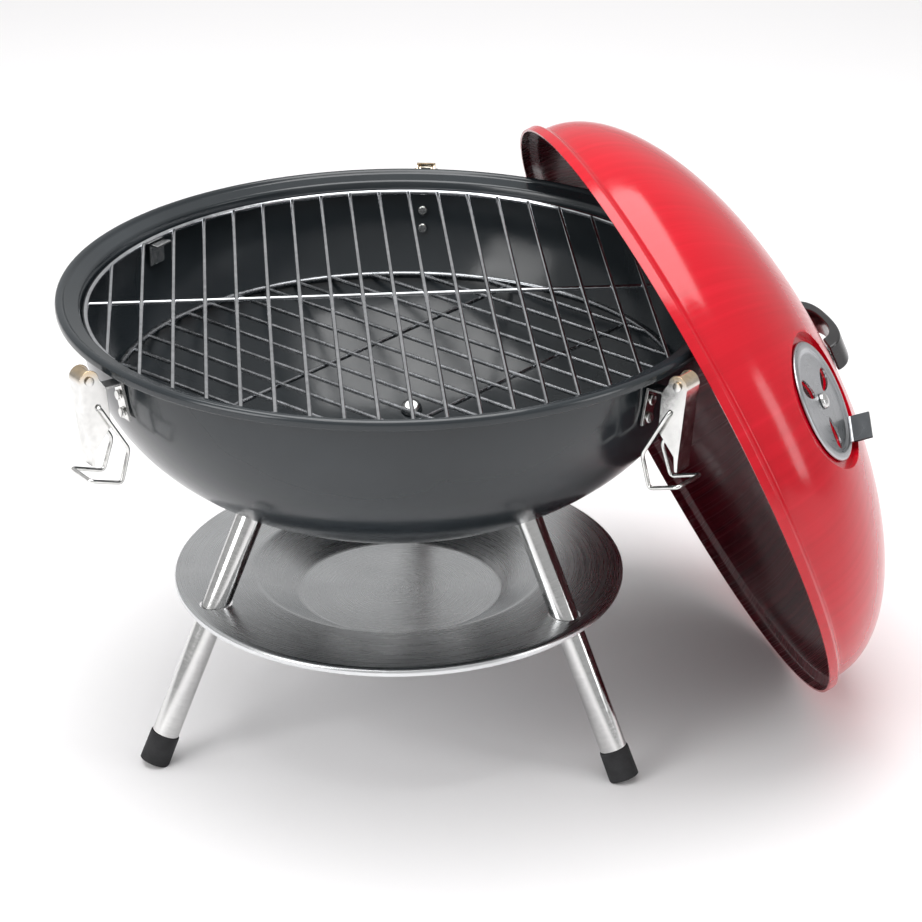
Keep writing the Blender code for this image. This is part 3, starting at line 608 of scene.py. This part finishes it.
# %% Lines for the bowl's section
def eased(points, reach, steps=4, closed=False):
    """The same line with each corner rounded within a reach in millimetres."""
    points = [Vector(point) for point in points]
    count = len(points)
    line = []
    for index, corner in enumerate(points):
        if not closed and index in (0, count - 1):
            line.append(corner)
            continue
        before = points[index - 1] - corner
        after = points[(index + 1) % count] - corner
        first = corner + before * min(reach / before.length, 0.49)
        last = corner + after * min(reach / after.length, 0.49)
        for step in range(steps + 1):
            share = step / steps
            line.append(first * (1 - share) ** 2 + corner * 2 * share * (1 - share) + last * share**2)
    return [tuple(point) for point in line]


BOWL_R, BOWL_TOP_Z, BOWL_DEPTH, BOWL_POWER, BOWL_FLAT_R = 166.0, 247.0, 118.0, 2.15, 56.0
SHEET = 1.2
WALL_STEPS, BOWL_STEPS = 40, 144
VENT_RHO, VENT_R = 24.0, 8.0
VENT_AZIMUTHS = (9.0, 129.0, 249.0)
RIVET_DROPS = (14.0, 24.0)


def bowl_radius(z):
    drop = (BOWL_TOP_Z - z) / BOWL_DEPTH
    return BOWL_R * (1 - drop**BOWL_POWER) ** (1 / BOWL_POWER)


def bowl_height(radius):
    return BOWL_TOP_Z - BOWL_DEPTH * (1 - (radius / BOWL_R) ** BOWL_POWER) ** (1 / BOWL_POWER)


def beside(profile, distance):
    """The profile moved sideways, to its left where the distance is positive."""
    moved = []
    for index, (r, z) in enumerate(profile):
        before, after = profile[max(index - 1, 0)], profile[min(index + 1, len(profile) - 1)]
        length = math.hypot(after[0] - before[0], after[1] - before[1])
        left = (-(after[1] - before[1]) / length, (after[0] - before[0]) / length)
        moved.append((max(r + left[0] * distance, 0.0), z + left[1] * distance))
    return moved


print("bowl radius at half depth:", round(bowl_radius(BOWL_TOP_Z - BOWL_DEPTH / 2), 1), "mm")

# %% [markdown]
# ## Spinning and drilling the bowl
# The wall is sampled closely, because its curve is what the light runs along. A bar is set through
# the sheet for each hole, all are joined, and one Boolean drills them.

# %% Bowl
floor_z = bowl_height(BOWL_FLAT_R)
start = math.acos((BOWL_FLAT_R / BOWL_R) ** (BOWL_POWER / 2))
wall = []
for step in range(WALL_STEPS + 1):
    angle = start * (1 - step / WALL_STEPS)
    radius = BOWL_R * math.cos(angle) ** (2 / BOWL_POWER)
    wall.append((radius, BOWL_TOP_Z - BOWL_DEPTH * math.sin(angle) ** (2 / BOWL_POWER)))
lower = [(0.0, floor_z), (30.0, floor_z)] + wall[:-1]
inside = beside(lower + [wall[-1]], SHEET)[:-1]
inside[0] = (0.0, floor_z + SHEET)
lip = [(166.0, 245.5), (167.6, 247.5), (175.5, 249.2), (175.9, 246.9), (177.5, 247.3), (177.5, 250.7)]
lip += [(176.6, 252.0), (175.0, 252.5), (173.5, 252.0), (172.5, 250.5), (165.6, 248.6), (164.8, 247.1)]
bowl = turned("bowl_fine", lower + eased(lip, 0.8, 3) + inside[::-1], BOWL_STEPS, AXIS)


def leg_point(azimuth, z):
    return Vector(polar(LEG_FOOT_R - LEG_SLOPE * z, azimuth, z))


leg_top = 120.0
while bowl_height(LEG_FOOT_R - LEG_SLOPE * leg_top) > leg_top:
    leg_top += 0.05
drills = [rod("drill", (0, 0, floor_z - 5), (0, 0, floor_z + 5), 2.4, 32, AXIS)]
for angle in VENT_AZIMUTHS:
    x, y, z = polar(VENT_RHO, angle, floor_z)
    drills.append(rod("drill", (x, y, z - 5), (x, y, z + 5), VENT_R, 48, AXIS))
for angle in LEG_AZIMUTHS.values():
    middle, reach = leg_point(angle, leg_top), (leg_point(angle, 1.0) - leg_point(angle, 0.0)) * 6
    drills.append(rod("drill", middle - reach, middle + reach, 3.4, 32, AXIS))
for angle in LATCH_AZIMUTHS.values():
    for drop in RIVET_DROPS:
        z = PIVOT_Z - drop
        near, far = polar(bowl_radius(z) - 6, angle, z), polar(bowl_radius(z) + 6, angle, z)
        drills.append(rod("drill", near, far, 2.0, 24, AXIS))
boolean(bowl, joined("drills", drills))
stands_for(bowl, "bowl", slate)
print("bowl:", len(bowl.data.polygons), "faces, floor at", round(floor_z, 2), "mm")

# %% [markdown]
# ## The lid
# The lid is a shallow dome over a short straight band, pressed from one sheet. A round seat is
# sunk flat into its side for the damper. The section is a line from the rim over the groove at the
# top of the band to the crown. The vents are three leaves, cut alike in the lid and its damper.


# %% Lines for the lid, and its vents
LID_STEPS, DOME_STEPS = 160, 48
PETAL_RHO, PETAL_HALF_LENGTH, PETAL_HALF_WIDTH, PETAL_AZIMUTH, PETAL_STEPS = 17.5, 8.5, 4.4, -41.0, 28


def lid_line(inset):
    """Half of the lid's section, moved in by the inset, from the rim to the crown."""
    band = [(0.0, 0.0), (0.0, 4.4), (0.5, 5.3), (2.4, 6.9), (3.7, 7.7), (4.2, 8.6)]
    line = [(LID_R - step_in - inset, z) for step_in, z in band]
    for step in range(1, DOME_STEPS + 1):
        angle = math.radians(90.0 * step / DOME_STEPS)
        height = LID_BAND + (LID_DOME_RISE - inset) * math.sin(angle)
        line.append(((LID_DOME_R - inset) * math.cos(angle), height))
    line[-1] = (0.0, line[-1][1])
    return line


def petals(place):
    """Three leaf-shaped cutters and a screw hole, about a placement's Z."""
    cutters = []
    for number in range(3):
        outline = []
        for step in range(PETAL_STEPS):
            angle = math.tau * step / PETAL_STEPS
            across = PETAL_HALF_WIDTH * math.sin(angle) * (1 + 0.3 * math.cos(angle))
            outline.append((PETAL_RHO + PETAL_HALF_LENGTH * math.cos(angle), across))
        turn = place @ Matrix.Rotation(math.radians(120 * number + PETAL_AZIMUTH), 4, "Z")
        cutters.append(plate("petal", outline, -6.0, 6.0, turn @ Matrix.Rotation(math.radians(90), 4, "X")))
    cutters.append(rod("drill", (0, 0, -6), (0, 0, 6), 2.4, 32, place))
    return cutters


print("lid line:", len(lid_line(0.0)), "points")

# %% [markdown]
# ## Pressing the lid
# The lid is made as a solid dome with the seat cut into it, then hollowed by the same dome one
# sheet thinner, so that the wall follows the seat. A face that looks away from the middle of the
# hollow is the red outside, and one that looks towards it is the maroon inside.

# %% Lid
lid = turned("lid_fine", [(0.0, 0.0)] + lid_line(0.0), LID_STEPS, LID)
upper = [(0.0, 0.0), (SEAT_R, 0.0), (SEAT_R + 1.5, 30.0), (0.0, 30.0)]
boolean(lid, turned("seat_cut", upper, 96, SEAT))
inner_line = lid_line(SHEET)
inner_line[0] = (inner_line[0][0], -2.0)
cavity = turned("cavity", [(0.0, -2.0)] + inner_line, LID_STEPS, LID)
under = [(0.0, -SHEET), (SEAT_R + SHEET, -SHEET), (SEAT_R + 1.5 + SHEET, 30.0), (0.0, 30.0)]
boolean(cavity, turned("inner_seat_cut", under, 96, SEAT))
boolean(lid, cavity)
HANDLE_FOOT_Y = 26.0
foot_out, foot_up = dome_normal(HANDLE_FOOT_Y)
handle_seats = [
    LID @ Matrix.Translation(Vector((0, sign * HANDLE_FOOT_Y, dome_height(HANDLE_FOOT_Y))) * MM)
    @ facing((0.0, sign * foot_out, foot_up), (1.0, 0.0, 0.0))
    for sign in (-1, 1)
]
drills = petals(SEAT) + [rod("drill", (0, 0, -6), (0, 0, 6), 2.4, 24, place) for place in handle_seats]
boolean(lid, joined("drills", drills))
softened(lid, 0.35, 2, 50)
stands_for(lid, "lid", red)
lid.data.materials.append(maroon)
to_lid, to_seat = LID.inverted(), SEAT.inverted()
turn_to_lid = to_lid.to_3x3()
middle = Vector((0, 0, 20 * MM))
for face in lid.data.polygons:
    spot, on_seat = to_lid @ face.center, to_seat @ face.center
    in_seat = math.hypot(on_seat.x, on_seat.y) < (SEAT_R + 1.9) * MM and on_seat.z > -0.6 * MM
    away = (turn_to_lid @ face.normal).dot((spot - middle).normalized()) > 0
    face.material_index = 0 if away or (in_seat and on_seat.z < 8 * MM) else 1
print("lid:", len(lid.data.polygons), "faces")

# %% [markdown]
# ## The lid's damper
# A dished disc turns over the vents on one screw. It has the same three leaf-shaped vents as its
# seat, a raised lip, and a tab bent up for the finger.

# %% Lid damper
LIP_R, DISC_R = 27.0, 32.5
disc = [(0.0, 0.3), (LIP_R, 0.3), (DISC_R - 3.5, 1.5), (DISC_R - 1.0, 0.7), (DISC_R, 0.7), (DISC_R, 1.7)]
disc += [(DISC_R - 1.2, 2.5), (DISC_R - 4.0, 2.5), (LIP_R - 0.8, 1.3), (0.0, 1.3)]
damper = turned("lid_damper_fine", eased(disc, 0.7, 3), 112, SEAT)
tab = [(DISC_R - 2.0, 1.0), (DISC_R - 0.7, 1.0), (DISC_R + 1.2, 12.8), (DISC_R, 12.8)]
boolean(damper, plate("tab", tab, -8.0, 8.0, SEAT @ Matrix.Rotation(math.radians(127), 4, "Z")), "UNION")
boolean(damper, joined("drills", petals(SEAT)))
stands_for(softened(damper, 0.2, 2, 50), "lid_damper", damper_steel)
screw = [(0.0, -8.2), (2.0, -8.2), (2.0, 1.6), (4.4, 1.6), (4.0, 3.2), (2.6, 4.0), (0.0, 4.3)]
stands_for(turned("damper_screw_fine", eased(screw, 0.4, 3), 40, SEAT), "damper_screw", bright_steel)
nut = [(2.7, -4.7), (4.2, -4.7), (4.2, -1.5), (2.7, -1.5)]
stands_for(softened(turned("damper_nut_fine", nut, 6, SEAT, 20.0), 0.3, 2, 40), "damper_nut", bright_steel)
print("damper:", len(damper.data.polygons), "faces")

# %% [markdown]
# ## The handle
# One moulded arch, broad and smooth, screwed from inside the lid through two spacers that keep it
# off the hot steel.

# %% Handle
CROWN = LID_BAND + LID_DOME_RISE
HANDLE_REACH, HANDLE_INNER_REACH, HANDLE_RISE, HANDLE_THICKNESS, HANDLE_HALF_WIDTH = 32.0, 20.0, 14.5, 5.0, 8.0
HANDLE_STEPS = 40
slope = foot_out / foot_up
seat_z = dome_height(HANDLE_FOOT_Y) - CROWN + 2.0 + 0.6 + 0.3


def foot_z(y):
    return seat_z - (y - HANDLE_FOOT_Y) * slope


outer, inner = [], []
outer_foot, inner_foot = foot_z(HANDLE_REACH), foot_z(HANDLE_INNER_REACH)
rise = HANDLE_RISE - outer_foot
for step in range(1, HANDLE_STEPS):
    angle = math.pi * step / HANDLE_STEPS
    share = math.copysign(abs(math.cos(angle)) ** 0.8, math.cos(angle))
    outer.append((HANDLE_REACH * share, outer_foot + rise * math.sin(angle) ** 0.8))
    height = inner_foot + (rise - HANDLE_THICKNESS) * math.sin(angle) ** 0.8
    inner.append((HANDLE_INNER_REACH * share, height))
outline = [(HANDLE_REACH, outer_foot)] + outer + [(-HANDLE_REACH, outer_foot)]
outline += [(-HANDLE_INNER_REACH, inner_foot)] + inner[::-1] + [(HANDLE_INNER_REACH, inner_foot)]
on_crown = LID @ Matrix.Translation((0, 0, CROWN * MM)) @ Matrix.Rotation(math.radians(90), 4, "Z")
handle = plate("handle_fine", outline, -HANDLE_HALF_WIDTH, HANDLE_HALF_WIDTH, on_crown)
stands_for(softened(handle, 1.3, 4, 55), "handle", plastic)
for number, place in enumerate(handle_seats, 1):
    spacer = [(2.4, 0.5), (5.5, 0.5), (5.5, 2.5), (2.4, 2.5)]
    piece = turned(f"handle_spacer_{number}_fine", eased(spacer, 0.3, 2, True), 48, place)
    stands_for(piece, f"handle_spacer_{number}", plastic)
    low = -SHEET - 0.5
    screw = [(0.0, low - 2.6), (2.8, low - 2.2), (4.0, low), (2.0, low), (2.0, 6.9), (0.0, 6.9)]
    piece = turned(f"handle_screw_{number}_fine", eased(screw, 0.3, 2), 32, place)
    stands_for(piece, f"handle_screw_{number}", bright_steel)
print("handle:", len(handle.data.polygons), "faces")

# %% [markdown]
# ## The legs
# Three polished tubes splay out from the bowl. Each is closed at its top by a plug that takes the
# screw through the bowl, and stands in a rubber cap that is cut level with the floor.

# %% Legs and feet
TUBE_R, CAP_R = 7.25, 8.1
for side, angle in LEG_AZIMUTHS.items():
    place = leg_place(angle)
    length = (leg_point(angle, leg_top) - leg_point(angle, 0.0)).length - 1.1
    lift = CAP_R * LEG_SLOPE + 0.85
    base = lift + 3.3
    tube = [(6.25, base), (TUBE_R, base), (TUBE_R, length), (6.25, length)]
    stands_for(turned(f"leg_{side}_fine", eased(tube, 0.35, 3, True), 64, place), "leg_" + side, leg_steels[side])
    cap = [(0.0, lift - 3.0), (CAP_R, lift - 3.0), (CAP_R - 0.2, lift + 13.6), (CAP_R - 0.4, lift + 14.0)]
    cap += [(TUBE_R + 0.3, lift + 14.0), (TUBE_R + 0.3, lift + 3.0), (0.0, lift + 3.0)]
    foot = turned(f"foot_cap_{side}_fine", eased(cap, 0.4, 3), 64, place)
    rest()
    bpy.ops.mesh.primitive_cube_add(size=40 * MM, location=at(*leg_point(angle, -20.0)).to_translation())
    boolean(foot, bpy.context.object)
    stands_for(softened(foot, 0.4, 3, 45), "foot_cap_" + side, rubber)
    plug = [(0.0, length - 14.0), (5.95, length - 14.0), (5.95, length - 0.2), (3.3, length - 0.2)]
    plug += [(3.3, length - 11.0), (0.0, length - 11.0)]
    stands_for(turned(f"leg_plug_{side}_fine", eased(plug, 0.3, 2), 48, place), "leg_plug_" + side, leg_steels[side])
    seat = length + 1.1 + SHEET + 1.2
    screw = [(0.0, length - 10.0), (3.0, length - 10.0), (3.0, seat), (6.0, seat), (5.2, seat + 2.2)]
    screw += [(3.4, seat + 3.2), (0.0, seat + 3.2)]
    stands_for(turned(f"leg_screw_{side}_fine", eased(screw, 0.4, 3), 40, place), "leg_screw_" + side, bright_steel)
print("leg top at", round(leg_top, 2), "mm")

# %% [markdown]
# ## The ash pan
# A pressed steel dish with a wide flat ring. The three legs pass through the ring and hold it. Its
# section runs along the upper side and back along the underside, and its outer edge is turned down.

# %% Ash pan
LEG_HOLE_R = 8.2
top = [(0.0, 73.0), (54.6, 73.0), (79.0, 88.0), (120.4, 88.0), (122.0, 86.8), (122.0, 84.4)]
top = eased(top, 2.2, 5)
under = beside(top, -0.9)
under[0] = (0.0, 72.1)
pan = turned("ash_pan_fine", top + under[::-1], 144, AXIS, 25.0)
drills = [
    rod("drill", leg_point(angle, 63.0), leg_point(angle, 113.0), LEG_HOLE_R, 48, AXIS)
    for angle in LEG_AZIMUTHS.values()
]
boolean(pan, joined("drills", drills))
stands_for(pan, "ash_pan", pan_steel)
print("pan:", len(pan.data.polygons), "faces")

# %% [markdown]
# ## The grates
# Straight wires are welded across a wire ring, with one or two cross wires under them. The wires
# end inside the ring's wire, as a weld leaves them.


# %% Grates
RING_WIRE_R, WIRE_R, WIRE_SIDES, CROSS_DROP = 1.6, 1.15, 14, 1.8


def grate(node, finish, z, ring_r, pitch, azimuth, count, cross):
    place = at(0, 0, z) @ Matrix.Rotation(math.radians(azimuth), 4, "Z")
    turns = [math.tau * side / WIRE_SIDES for side in range(WIRE_SIDES)]
    section = [(ring_r + RING_WIRE_R * math.cos(turn), RING_WIRE_R * math.sin(turn)) for turn in turns]
    pieces = [turned(node + "_fine", section, 160, place)]
    for index in range(count):
        y = (index - (count - 1) / 2) * pitch
        half = math.sqrt(ring_r**2 - y**2)
        pieces.append(softened(rod("wire", (-half, y, 0), (half, y, 0), WIRE_R, WIRE_SIDES, place), 0.3))
    for x in cross:
        half = math.sqrt(ring_r**2 - x**2)
        ends = (x, -half, -CROSS_DROP), (x, half, -CROSS_DROP)
        pieces.append(softened(rod("wire", *ends, WIRE_R, WIRE_SIDES, place), 0.3))
    whole = joined(node + "_fine", pieces)
    bpy.ops.object.shade_smooth_by_angle(angle=math.radians(40))
    stands_for(whole, node, finish)
    print(node, len(whole.data.polygons), "faces")


grate("cooking_grate", chrome, 243.0, 162.1, 16.6, 77.8, 19, (11.7,))
grate("charcoal_grate", dull_wire, 198.0, 149.5, 18.2, 122.1, 16, (-43.0, 43.0))

# %% [markdown]
# ## The latches
# Each latch is a folded lever on a pin, with a sprung wire bail through its sides. The bracket is
# riveted to the bowl. Levers and brackets keep the frame's folded shape, with their cut edges
# rounded; the bail is a wire bent along a line with rounded corners.


# %% Latches
def bent_wire(name, corners, radius, place):
    """A round wire bent along corners in millimetres."""
    obj = traced(name, eased(corners, 2.6, 6))
    bpy.ops.mesh.remove_doubles(threshold=1e-6)
    rest()
    only(obj)
    obj.matrix_world = place
    bpy.ops.object.convert(target="CURVE")
    obj = bpy.context.object
    obj.data.bevel_depth = radius * MM
    obj.data.bevel_resolution = 5
    obj.data.use_fill_caps = True
    bpy.ops.object.convert(target="MESH")
    obj = bpy.context.object
    bpy.ops.object.transform_apply(location=True, rotation=True, scale=True)
    bpy.ops.object.shade_smooth_by_angle(angle=math.radians(50))
    return obj


half = [(0.0, 3.0, 0.0), (0.0, 7.2, 0.0), (-14.5, 8.4, -25.5), (-9.1, 9.2, -42.5), (8.7, 9.8, -36.6)]
bail_corners = half + [(x, -y, z) for x, y, z in half[::-1]]
for side, place in pivots.items():
    steel = latch_steels[side]
    stands_for(copy_of("latch_lever_" + side, f"latch_lever_{side}_fine", 0.28), "latch_lever_" + side, steel)
    stands_for(copy_of("latch_bracket_" + side, f"latch_bracket_{side}_fine", 0.25), "latch_bracket_" + side, steel)
    hole = place @ Matrix.Translation(Vector((-4.1, 0, -15.0)) * MM)
    bail = bent_wire(f"latch_bail_{side}_fine", bail_corners, 1.1, hole)
    stands_for(bail, "latch_bail_" + side, steel)
    pin = [(0.0, -6.6), (2.4, -6.6), (2.4, -5.6), (1.5, -5.6), (1.5, 5.6), (2.4, 5.6), (2.4, 6.6), (0.0, 6.6)]
    lying = place @ Matrix.Rotation(math.radians(90), 4, "X")
    stands_for(turned(f"latch_pin_{side}_fine", eased(pin, 0.3, 3), 32, lying), "latch_pin_" + side, steel)
    low, high = PIVOT_Z - 28.0, PIVOT_Z - 6.2
    for number, drop in enumerate(RIVET_DROPS, 1):
        z = PIVOT_Z - drop
        share = (z - low) / (high - low)
        inner = bowl_radius(z) - SHEET - 1.8 - PIVOT_R
        outer = bowl_radius(low) * (1 - share) + bowl_radius(high) * share + 3.5 - PIVOT_R
        rivet = [(0.0, inner - 1.0), (2.4, inner - 1.0), (2.9, inner), (1.6, inner), (1.6, outer)]
        rivet += [(2.9, outer), (2.4, outer + 1.0), (0.0, outer + 1.0)]
        pointing = place @ Matrix.Translation((0, 0, -drop * MM)) @ Matrix.Rotation(math.radians(90), 4, "Y")
        piece = turned(f"bracket_rivet_{side}_{number}_fine", eased(rivet, 0.35, 3), 32, pointing)
        stands_for(piece, f"bracket_rivet_{side}_{number}", steel)
print("latches:", list(pivots))

# %% [markdown]
# ## Under and inside the bowl
# A disc on a rivet opens and shuts the floor vents, and three small angles on the wall carry the
# cooking grate.

# %% Bowl damper and supports
stands_for(copy_of("bowl_damper", "bowl_damper_fine", 0.2), "bowl_damper", bright_steel)
low, high = floor_z - 1.8, floor_z + SHEET + 0.3
rivet = [(0.0, low - 1.6), (4.0, low - 1.6), (4.5, low), (2.0, low), (2.0, high), (4.5, high), (4.0, high + 1.6)]
rivet.append((0.0, high + 1.6))
stands_for(turned("bowl_damper_rivet_fine", eased(rivet, 0.4, 3), 40, AXIS), "bowl_damper_rivet", bright_steel)
for number in (1, 2, 3):
    node = f"grate_support_{number}"
    stands_for(copy_of(node, node + "_fine", 0.25), node, bright_steel)
print("supports: 3")

# %% [markdown]
# ## The floor
# The grill stands on a wide plain floor, nearly white, which gives it soft shadows and is seen
# again in its steel and enamel.

# %% Floor
rest()
bpy.ops.mesh.primitive_plane_add(size=12.0)
floor = bpy.context.object
floor.name = "floor"
floor_paint, shader = new_finish("floor_paint", 0.7, specular=0.2)
cloud = noise(floor_paint, object_point(floor_paint), 0.8, 3.0)
whites = [(0.3, (0.86, 0.85, 0.855)), (0.7, (0.9, 0.89, 0.895))]
link(floor_paint, ramp(floor_paint, cloud, whites), shader.inputs["Base Color"])
floor.data.materials.append(floor_paint)
print("floor:", floor.dimensions.x, "m wide")

# %% [markdown]
# ## Light
# A wide soft light hangs above, another stands to the left and a weaker one to the right. The
# surroundings fade from white overhead to light grey below, so that bright metal has something to
# reflect.


# %% Light
def soft_light(name, place, aim, width, height, power):
    bpy.ops.object.light_add(type="AREA", location=place)
    lamp = bpy.context.object
    lamp.name = name
    lamp.rotation_euler = (Vector(aim) - Vector(place)).to_track_quat("-Z", "Y").to_euler()
    lamp.data.shape = "RECTANGLE"
    lamp.data.size = width
    lamp.data.size_y = height
    lamp.data.energy = power


soft_light("top_light", (-0.1, 0.0, 1.7), (0.05, 0, 0.1), 1.5, 1.3, 30.0)
soft_light("left_light", (-1.7, -0.7, 1.0), (0, 0, 0.15), 0.9, 1.2, 16.0)
soft_light("right_light", (1.6, -1.3, 0.8), (0.1, 0, 0.15), 0.5, 1.2, 7.0)

world = bpy.data.worlds.new("studio")
bpy.context.scene.world = world
world.use_nodes = True
tree = world.node_tree
back = tree.nodes["Background"]
point = tree.nodes.new("ShaderNodeTexCoord")
parts = tree.nodes.new("ShaderNodeSeparateXYZ")
tree.links.new(point.outputs["Generated"], parts.inputs[0])
sky = tree.nodes.new("ShaderNodeValToRGB")
tree.links.new(parts.outputs["Z"], sky.inputs["Fac"])
tree.links.new(sky.outputs["Color"], back.inputs["Color"])
elements = sky.color_ramp.elements
elements[0].position, elements[0].color = 0.0, (0.8, 0.8, 0.8, 1)
elements[1].position, elements[1].color = 0.6, (1, 1, 1, 1)
back.inputs["Strength"].default_value = 0.62
bpy.context.scene.view_settings.view_transform = "Standard"

# %% [markdown]
# ## The end
# Nothing is left in edit mode or selected, and the scene is brought up to date.

# %% Finish
rest()
bpy.context.view_layer.update()
